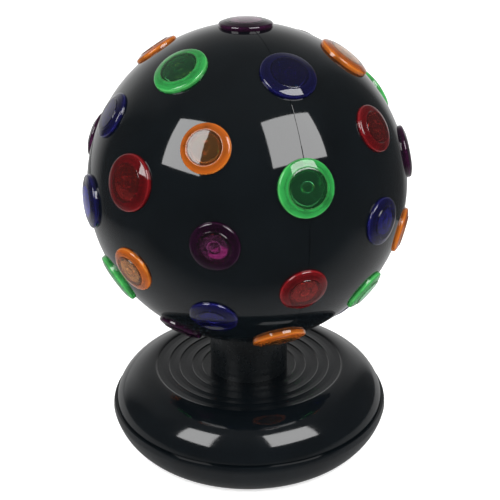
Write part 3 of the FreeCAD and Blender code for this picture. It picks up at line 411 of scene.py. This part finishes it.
def dome(p0, p1, power, n):
    """Superellipse quarter from the top edge p0 (r, z) out and down to p1."""
    out = []
    for k in range(n + 1):
        t = math.pi / 2 * k / n
        r = p0[0] + (p1[0] - p0[0]) * math.sin(t) ** (2 / power)
        z = p1[1] + (p0[1] - p1[1]) * max(math.cos(t), 0.0) ** (2 / power)
        out.append((r, z))
    return out


# ---------------------------------------------------------------------------
# Base: cover with its stepped rings, tray with the rim lip, neck
# ---------------------------------------------------------------------------
cover_pts = [(17.5, 43.4), (47.5, 43.4), (49.5, 44.9), (61.5, 44.9), (62.9, 46.1)]
cover_pts += arc((62.9, 46.1), (71.8, 44.6), (80.1, 39.65), 10)[1:]
cover_pts += arc((80.1, 39.65), (85.95, 32.7), (88.0, 26.1), 10)[1:]
cover_pts += [(88.0, 22.7), (90.4, 22.7), (90.4, 26.1)]
out_dome = dome((63.9, 48.9), (90.4, 26.1), 1.76, 48)
cover_pts += list(reversed(out_dome))[1:-1]
cover_pts += [
    (63.7, 48.88, 0.5), (62.9, 48.6, 0.5), (62.4, 48.02, 0.5),
    (58.6, 47.90, 6.0), (55.5, 48.06, 1.2), (54.9, 48.16, 0.8), (54.4, 48.12, 0.5), (53.9, 47.50, 0.5),
    (50.8, 47.40, 6.0), (48.4, 47.55, 1.2), (47.8, 47.64, 0.8), (47.3, 47.60, 0.5), (46.8, 47.00, 0.5),
    (43.0, 46.90, 6.0), (39.8, 47.04, 1.2), (39.2, 47.13, 0.8), (38.7, 47.09, 0.5), (38.2, 46.52, 0.5),
    (35.2, 46.42, 6.0), (33.0, 46.54, 1.2), (32.4, 46.62, 0.8), (31.9, 46.58, 0.5), (31.4, 46.10, 0.5),
    (17.5, 46.1),
]
base_cover = lathe("base_cover_shell", cover_pts, BASE_BLACK, 360, 38.0)
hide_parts("base_cover")
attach(base_cover, "stand")


def superquarter(p0, p1, power, n):
    """From p0 down and in to p1: vertical at p0, flat at p1."""
    out = []
    for k in range(n + 1):
        t = math.pi / 2 * k / n
        r = p1[0] + (p0[0] - p1[0]) * max(math.cos(t), 0.0) ** (2 / power)
        z = p0[1] + (p1[1] - p0[1]) * math.sin(t) ** (2 / power)
        out.append((r, z))
    return out


neck = lathe("neck_tube", [
    (18.0, 46.1), (25.9, 46.1), (25.9, 78.4, 0.5), (23.5, 78.4, 0.3), (23.5, 49.1), (18.0, 49.1)], NECK_BLACK, 192)
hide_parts("neck_column")
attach(neck, "stand")

# the tray keeps its modelled shape, with its window, inlet boss and foot seats
tray = frame["nodes"]["base_tray"]
for s in tray.material_slots:
    s.material = BASE_BLACK


# ---------------------------------------------------------------------------
# Ball: two half shells with the lens holes, meeting in a fine seam
# ---------------------------------------------------------------------------
def frame_of(axis):
    axis = axis.normalized()
    ref = Vector((0, 0, 1)) if abs(axis.z) < 0.9 else Vector((1, 0, 0))
    u = ref.cross(axis).normalized()
    return u, axis.cross(u), axis


def ball_half(name, side):
    a = math.radians(SEAM_AZ)
    across = Vector((math.cos(a), math.sin(a), 0.0)) * side
    u, v, w = frame_of(across)
    gap = 0.06 / BALL_R
    chamfer = 0.20 / BALL_R
    edge = gap + chamfer

    def flat(d):
        k = 1.0 + d.dot(w)
        return (d.dot(u) / k, d.dot(v) / k)

    def lift(p):
        s2 = p[0] * p[0] + p[1] * p[1]
        return (u * (2 * p[0]) + v * (2 * p[1]) + w * (1 - s2)) / (1 + s2)

    pts, edges = [], []

    def loop(ds):
        start = len(pts)
        for d in ds:
            pts.append(flat(d))
        n = len(ds)
        for k in range(n):
            edges.append((start + k, start + (k + 1) % n))

    n = 720
    rim = []
    for k in range(n):
        t = 2 * math.pi * k / n
        rim.append((u * math.cos(t) + v * math.sin(t)) * math.cos(edge) + w * math.sin(edge))
    loop(rim)
    holes = []
    for lat, az, colour, big in LENSES:
        holes.append((direction(lat, az), math.asin((BIG if big else SMALL) / BALL_R + 0.0006), 112))
    holes.append((Vector((0, 0, -1)), math.asin(0.22), 144))
    near = []
    for c, r, m in holes:
        if c.dot(w) < -math.sin(r + 0.02):
            continue
        near.append((c, r))
        hu, hv, hw = frame_of(c)
        loop([(hu * math.cos(2 * math.pi * k / m) + hv * math.sin(2 * math.pi * k / m)) * math.sin(r) + hw * math.cos(r)
              for k in range(m)])
    spacing = 0.030
    count = int(4 * math.pi / (spacing * spacing * 0.866))
    golden = math.pi * (3 - math.sqrt(5))
    for k in range(count):
        zz = 1 - (2 * k + 1) / count
        rr = math.sqrt(1 - zz * zz)
        d = u * (rr * math.cos(golden * k)) + v * (rr * math.sin(golden * k)) + w * zz
        if d.dot(w) < math.sin(edge + 0.012):
            continue
        if any(abs(math.acos(max(-1, min(1, d.dot(c)))) - r) < 0.011 or d.dot(c) > math.cos(r) for c, r in near):
            continue
        pts.append(flat(d))
    vs, es, fs, _, _, _ = delaunay_2d_cdt([Vector(p) for p in pts], edges, [], 0, 1e-7)
    dirs = [lift(p) for p in vs]
    keep = []
    lim = math.cos(edge) / (1 + math.sin(edge)) + 1e-6
    for f in fs:
        cx = sum(vs[i][0] for i in f) / len(f)
        cy = sum(vs[i][1] for i in f) / len(f)
        if math.hypot(cx, cy) > lim:
            continue
        d = lift((cx, cy)).normalized()
        if any(d.dot(c) > math.cos(r) for c, r in near):
            continue
        keep.append(tuple(f))
    used = sorted({i for f in keep for i in f})
    remap = {i: k for k, i in enumerate(used)}
    outer = [dirs[i].normalized() for i in used]
    tris = [tuple(remap[i] for i in f) for f in keep]
    # face winding: outward
    fixed = []
    for f in tris:
        p, q, r = outer[f[0]], outer[f[1]], outer[f[2]]
        fixed.append(f if (q - p).cross(r - p).dot(p) > 0 else tuple(reversed(f)))
    m = len(outer)
    verts, normals_out = [], []
    for d in outer:
        verts.append(d * BALL_R)
    for d in outer:
        verts.append(d * (BALL_R - BALL_WALL))
    faces = list(fixed)
    kinds = [0] * len(faces)
    faces += [tuple(m + i for i in reversed(f)) for f in fixed]
    kinds += [1] * len(fixed)
    count_edge = {}
    for f in fixed:
        for k in range(len(f)):
            e = (f[k], f[(k + 1) % len(f)])
            count_edge[e] = count_edge.get(e, 0) + 1
    extra = {}

    def chamfered(i):
        """The point below a seam edge point, moved in and towards the seam plane."""
        if i not in extra:
            d = outer[i]
            p = d * (BALL_R - 0.20)
            p = p - w * (p.dot(w)) + w * (gap * BALL_R)
            extra[i] = len(verts)
            verts.append(p)
        return extra[i]

    for (i, j) in list(count_edge):
        if (j, i) in count_edge:
            continue
        seam = abs(math.asin(outer[i].dot(w)) - edge) < 1e-5 and abs(math.asin(outer[j].dot(w)) - edge) < 1e-5
        if seam:
            ci, cj = chamfered(i), chamfered(j)
            faces.append((j, i, ci, cj))
            kinds.append(2)
            faces.append((cj, ci, m + i, m + j))
            kinds.append(3)
        else:
            faces.append((j, i, m + i, m + j))
            kinds.append(3)
    verts = [tuple(BALL_C + p) for p in verts]
    ob = new_object(name, verts, faces, [BALL_BLACK], smooth=True)
    me = ob.data
    c = BALL_C * MM
    normals = []
    for poly, kind in zip(me.polygons, kinds):
        for li in poly.loop_indices:
            p = me.vertices[me.loops[li].vertex_index].co - c
            if kind == 0:
                normals.append(p.normalized())
            elif kind == 1:
                normals.append(-p.normalized())
            else:
                normals.append(poly.normal)
    me.normals_split_custom_set(normals)
    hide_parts(name_to_node[name])
    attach(ob, "ball")
    return ob


name_to_node = {"ball_half_right": "ball_shell_right", "ball_half_left": "ball_shell_left"}
ball_half("ball_half_right", 1)
ball_half("ball_half_left", -1)


# ---------------------------------------------------------------------------
# Lenses: a seat ring in the shell and a lens for each place
# ---------------------------------------------------------------------------
def lens_profile(big):
    """(r, height from the ball's centre, zone) from the middle of the face, over the edge and back inside."""
    R = BIG if big else SMALL
    plug = 12.3 if big else 10.6
    seat = 98.61 if big else 98.94
    top = 0.0 if big else -0.30
    inner = R * 0.665
    pts = []
    # face disc: slightly domed like the ball
    for k in range(13):
        r = inner * k / 12
        pts.append((r, 103.42 + top - r * r / 206.0, 0.62 * k / 12))
    # the crease: the face stands a little above the ring
    r0, r1 = inner + 0.75, R - 1.036
    z1 = 101.527 + top
    z0 = z1 + (r1 - r0) * 0.325
    pts += [(inner + 0.25, z0 + 0.05, 0.66), (inner + 0.45, z0 - 0.05, 0.68), (inner + 0.60, z0 - 0.03, 0.70)]
    # ring: an even slope of 18 degrees, hardly crowned
    for k in range(0, 9):
        t = k / 8
        pts.append((r0 + (r1 - r0) * t, z0 + (z1 - z0) * t + 0.05 * math.sin(math.pi * t), 0.72 + 0.19 * t))
    # rounded edge of 1.5 mm and the upright outer wall
    for k in range(1, 10):
        t = math.radians(72.0 * (1 - k / 9))
        pts.append((R - 1.5 + 1.5 * math.cos(t), 100.1 + top + 1.5 * math.sin(t), 0.91 + 0.07 * k / 9))
    pts.append((R, seat, 1.0))
    pts.append((plug, seat, 0.90))
    pts.append((plug, 95.6, 0.85))
    pts.append((plug - 1.7, 95.6, 0.80))
    pts.append((plug - 2.0, 98.6, 0.72))
    pts.append((plug - 2.6, 100.4, 0.66))
    under = plug - 3.2
    for r in (under, under * 0.86, under * 0.72, under * 0.58, 4.3):
        pts.append((r, 101.55 + top - r * r / 206.0, 0.5 * r / under))
    # the gate ring moulded under the middle of the face
    for r, drop in ((3.9, 0.0), (3.7, 0.28), (3.3, 0.42), (2.9, 0.42), (2.5, 0.28), (2.3, 0.0)):
        pts.append((r, 101.55 + top - r * r / 206.0 - drop, 0.5 * r / under))
    for r in (1.6, 0.8, 0.0):
        pts.append((r, 101.55 + top - r * r / 206.0, 0.5 * r / under))
    return pts


def lens_group(name, nodes, colour, places):
    seg = 96
    verts, faces, zone = [], [], []
    for lat, az, big in places:
        prof = lens_profile(big)
        v, f = ring_mesh([(p[0], p[1]) for p in prof], seg)
        z = []
        for p in prof:
            z += [p[2]] * (1 if abs(p[0]) < 1e-6 else seg)
        f = outward(v, f)
        u, w, d = frame_of(direction(lat, az))
        base = len(verts)
        for x, y, h in v:
            verts.append(tuple(BALL_C + u * x + w * y + d * h))
        faces += [tuple(base + i for i in q) for q in f]
        zone += z
    ob = new_object(name, verts, faces, [LENS_MATS[colour]], zone=zone)
    ob.data.set_sharp_from_angle(angle=math.radians(35.0))
    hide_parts(*nodes)
    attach(ob, "ball")
    return ob


for colour in ("purple", "green", "orange", "red", "blue"):
    lens_group("lens_set_" + colour, ["lenses_" + colour], colour,
               [(lat, az, big) for lat, az, c, big in LENSES if c == colour])
lens_group("lens_pole", ["lens_top"], "purple", [(90.0, 0.0, 1)])

seat_v, seat_f = [], []
for lat, az, colour, big in LENSES:
    R = BIG if big else SMALL
    plug = 12.4 if big else 10.7
    seat = 98.58 if big else 98.91
    v, f = ring_mesh([(plug, seat), (R + 0.06, seat), (R + 0.06, 96.1), (plug, 96.1)], 96)
    f = outward(v, f)
    u, w, d = frame_of(direction(lat, az))
    base = len(seat_v)
    for x, y, h in v:
        seat_v.append(tuple(BALL_C + u * x + w * y + d * h))
    seat_f += [tuple(base + i for i in q) for q in f]
seats = new_object("lens_seats", seat_v, seat_f, [BALL_BLACK])
seats.data.set_sharp_from_angle(angle=math.radians(35.0))
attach(seats, "ball")

# ---------------------------------------------------------------------------
# Studio: pale floor, two soft boxes, a pale surround that falls off to the front
# ---------------------------------------------------------------------------
def floor():
    n = Nodes("floor_pale")
    a = n.noise(3.0, 3.0)
    col = n.ramp(a, "Fac", [(0.3, (0.93, 0.93, 0.93)), (0.7, (0.96, 0.96, 0.96))])
    n.link(col, "Color", n.bsdf, "Base Color")
    n.set(Roughness=0.9)
    n.bsdf.inputs["Specular IOR Level"].default_value = 0.1
    n.bsdf.inputs["Emission Color"].default_value = (1.0, 1.0, 1.0, 1.0)
    n.bsdf.inputs["Emission Strength"].default_value = 0.60
    s = 6000.0
    ob = new_object("floor_sheet", [(-s, -s, -0.02), (s, -s, -0.02), (s, s, -0.02), (-s, s, -0.02)], [(0, 1, 2, 3)], [n.mat])
    ob.visible_glossy = False


def lit_table():
    """The lit table top as the gloss shows it: brightest behind the object, gone past its edges, and darkened close
    round the axis by a painted shadow of the base and ball.
    """
    m = bpy.data.materials.new("table_light")
    m.use_nodes = True
    t = m.node_tree
    t.nodes.clear()

    def add(kind, **settings):
        n = t.nodes.new(kind)
        for k, v in settings.items():
            setattr(n, k, v)
        return n

    def curve(source, lo, hi, stops):
        mp = add("ShaderNodeMapRange")
        mp.inputs["From Min"].default_value = lo
        mp.inputs["From Max"].default_value = hi
        t.links.new(source, mp.inputs["Value"])
        r = add("ShaderNodeValToRGB")
        el = r.color_ramp.elements
        while len(el) > 1:
            el.remove(el[-1])
        for k, (x, v) in enumerate(stops):
            e = el[0] if k == 0 else el.new((x - lo) / (hi - lo))
            e.position = (x - lo) / (hi - lo)
            e.color = (v, v, v, 1.0)
        t.links.new(mp.outputs["Result"], r.inputs["Fac"])
        return r.outputs["Color"]

    def times(a, b):
        mm = add("ShaderNodeMath", operation="MULTIPLY")
        t.links.new(a, mm.inputs[0])
        t.links.new(b, mm.inputs[1])
        return mm.outputs[0]

    tc = add("ShaderNodeTexCoord")
    sep = add("ShaderNodeSeparateXYZ")
    t.links.new(tc.outputs["Object"], sep.inputs[0])
    along = curve(sep.outputs["X"], -0.6, 0.6, [(-0.52, 0.0), (-0.45, 0.35), (-0.38, 0.62), (-0.30, 0.90), (-0.20, 1.0), (0.20, 0.95),
                                                (0.30, 0.80), (0.36, 0.62), (0.45, 0.30), (0.52, 0.0)])
    deep = curve(sep.outputs["Y"], -0.3, 0.5, [(-0.200, 0.0), (-0.172, 0.14), (-0.145, 0.30), (-0.10, 0.56), (-0.05, 0.66), (0.05, 0.84), (0.15, 1.0), (0.5, 1.0)])
    rad = add("ShaderNodeVectorMath", operation="LENGTH")
    t.links.new(tc.outputs["Object"], rad.inputs[0])
    # painted shadow of the base and ball on the table: dark close round the axis, nearly full brightness from 140 mm
    # out
    near = curve(rad.outputs["Value"], 0.0, 0.2, [(0.0, 0.1), (0.075, 0.12), (0.088, 0.35), (0.105, 0.70), (0.14, 0.95), (0.2, 1.0)])
    total = times(times(along, deep), near)
    scale = add("ShaderNodeMath", operation="MULTIPLY_ADD")
    scale.inputs[1].default_value = 0.44
    scale.inputs[2].default_value = 0.105
    t.links.new(total, scale.inputs[0])
    em = add("ShaderNodeEmission")
    t.links.new(scale.outputs[0], em.inputs["Strength"])
    out = add("ShaderNodeOutputMaterial")
    t.links.new(em.outputs[0], out.inputs["Surface"])
    edge = [(-520.0, -200.0), (520.0, -200.0), (520.0, 120.0), (300.0, 260.0), (250.0, 470.0), (40.0, 560.0), (-120.0, 900.0), (-520.0, 900.0)]
    ob = new_object("table_sheet", [(x, y, -0.01) for x, y in edge], [tuple(range(len(edge)))], [m], smooth=False)
    ob.visible_camera = False
    ob.visible_diffuse = False
    ob.visible_shadow = False
    ob.visible_transmission = False


floor()
lit_table()


def soft_box(name, corners, strength):
    m = bpy.data.materials.new(name + "_glow")
    m.use_nodes = True
    t = m.node_tree
    t.nodes.clear()
    out = t.nodes.new("ShaderNodeOutputMaterial")
    em = t.nodes.new("ShaderNodeEmission")
    em.inputs["Strength"].default_value = strength
    em.inputs["Color"].default_value = (1.0, 1.0, 1.0, 1.0)
    t.links.new(em.outputs[0], out.inputs["Surface"])
    ob = new_object(name, corners, [(0, 1, 2, 3)], [m], smooth=False)
    ob.visible_camera = False
    ob.visible_transmission = False
    return ob


def spread(dirs, reach):
    return [tuple(BALL_C + Vector(d) * reach) for d in dirs]


soft_box("soft_box_right", spread([(0.163, -0.552, 0.929), (0.635, -0.214, 0.850), (0.862, -0.467, 0.468), (0.316, -0.918, 0.513)], 1000.0), 8.0)
soft_box("soft_box_left", spread([(-0.683, -0.240, 0.806), (-0.368, -0.510, 0.892), (-0.559, -0.854, 0.399), (-0.904, -0.454, 0.392)], 1000.0), 8.0)


def surround():
    """Even pale light; what the gloss mirrors is a bright backdrop in a dim room."""
    world = bpy.data.worlds.new("studio")
    bpy.context.scene.world = world
    world.use_nodes = True
    t = world.node_tree
    t.nodes.clear()

    def add(kind, **settings):
        n = t.nodes.new(kind)
        for k, v in settings.items():
            setattr(n, k, v)
        return n

    tc = add("ShaderNodeTexCoord")

    def part(axis):
        d = add("ShaderNodeVectorMath", operation="DOT_PRODUCT")
        d.inputs[1].default_value = tuple(Vector(axis).normalized())
        t.links.new(tc.outputs["Generated"], d.inputs[0])
        return d.outputs["Value"]

    def curve(source, stops):
        mp = add("ShaderNodeMapRange")
        mp.inputs["From Min"].default_value = -1.0
        mp.inputs["From Max"].default_value = 1.0
        t.links.new(source, mp.inputs["Value"])
        r = add("ShaderNodeValToRGB")
        el = r.color_ramp.elements
        while len(el) > 1:
            el.remove(el[-1])
        for k, (x, v) in enumerate(stops):
            e = el[0] if k == 0 else el.new((x + 1) / 2)
            e.position = (x + 1) / 2
            e.color = (v, v, v, 1.0)
        t.links.new(mp.outputs["Result"], r.inputs["Fac"])
        return r.outputs["Color"]

    def sin(deg):
        return math.sin(math.radians(deg))

    def math_node(kind, a, b):
        mm = add("ShaderNodeMath", operation=kind)
        for k, v in enumerate((a, b)):
            if isinstance(v, float):
                mm.inputs[k].default_value = v
            else:
                t.links.new(v, mm.inputs[k])
        return mm.outputs[0]

    up = part((0, 0, 1))
    side = part((1, 0, 0))
    back = part((0, 1, 0))
    # the backdrop: a band of directions behind the object, fading at its top and sides
    height = curve(up, [(sin(-24), 0.0), (sin(-12), 0.85), (sin(0), 1.0), (sin(14), 0.82), (sin(24), 0.48), (sin(34), 0.27), (sin(46), 0.12), (sin(62), 0.0)])
    width = curve(side, [(sin(-58), 0.0), (sin(-46), 0.55), (sin(-36), 0.92), (sin(-20), 1.0), (sin(18), 1.0), (sin(27), 0.70), (sin(36), 0.08), (sin(46), 0.0)])
    facing = curve(back, [(0.0, 0.0), (0.15, 1.0)])
    panel = math_node("MULTIPLY", math_node("MULTIPLY", height, width), facing)
    # the room: dim all round, a little paler overhead
    room = curve(up, [(-1.0, 0.105), (sin(-10), 0.105), (sin(5), 0.095), (sin(30), 0.105), (sin(50), 0.14), (sin(65), 0.19), (1.0, 0.19)])
    total = math_node("ADD", math_node("MULTIPLY", panel, 0.92), room)
    glossy = add("ShaderNodeBackground")
    t.links.new(total, glossy.inputs["Strength"])
    even = add("ShaderNodeBackground")
    even.inputs["Color"].default_value = (1.0, 1.0, 1.0, 1.0)
    # soft light on the matt parts: strongest from above, weaker round the horizon
    soft = curve(up, [(-1.0, 0.42), (sin(-30), 0.42), (sin(-8), 0.40), (sin(10), 0.40), (sin(35), 0.68), (sin(60), 0.98), (1.0, 1.1)])
    t.links.new(soft, even.inputs["Strength"])
    seen = add("ShaderNodeBackground")
    seen.inputs["Color"].default_value = (1.0, 1.0, 1.0, 1.0)
    lp = add("ShaderNodeLightPath")
    m1 = add("ShaderNodeMixShader")
    m2 = add("ShaderNodeMixShader")
    t.links.new(lp.outputs["Is Glossy Ray"], m1.inputs["Fac"])
    t.links.new(even.outputs[0], m1.inputs[1])
    t.links.new(glossy.outputs[0], m1.inputs[2])
    t.links.new(lp.outputs["Is Camera Ray"], m2.inputs["Fac"])
    t.links.new(m1.outputs[0], m2.inputs[1])
    t.links.new(seen.outputs[0], m2.inputs[2])
    out = add("ShaderNodeOutputWorld")
    t.links.new(m2.outputs[0], out.inputs["Surface"])


surround()

# ---------------------------------------------------------------------------
# Camera at the photograph's place
# ---------------------------------------------------------------------------
cam_data = bpy.data.cameras.new("view_camera")
cam_data.sensor_width = 36.0
cam_data.lens = 1010.7 / 500.0 * 36.0
cam_data.clip_start = 0.01
cam_data.clip_end = 100.0
cam = bpy.data.objects.new("view_camera", cam_data)
bpy.context.scene.collection.objects.link(cam)
PITCH = math.radians(23.574)
ROLL = math.radians(0.5)
turn = Matrix.Rotation(math.pi / 2 - PITCH, 3, "X") @ Matrix.Rotation(-ROLL, 3, "Z")
# the ball's middle is seen at this place in the 500 x 500 image
f = 1010.7
px = Vector(((247.2 - 250.0) / f, (250.0 - 183.33) / f, -1.0)).normalized()
cam.matrix_world = Matrix.Translation(BALL_C * MM - (turn @ px) * 0.640) @ turn.to_4x4()
bpy.context.scene.camera = cam

bpy.context.scene.view_settings.view_transform = "Standard"
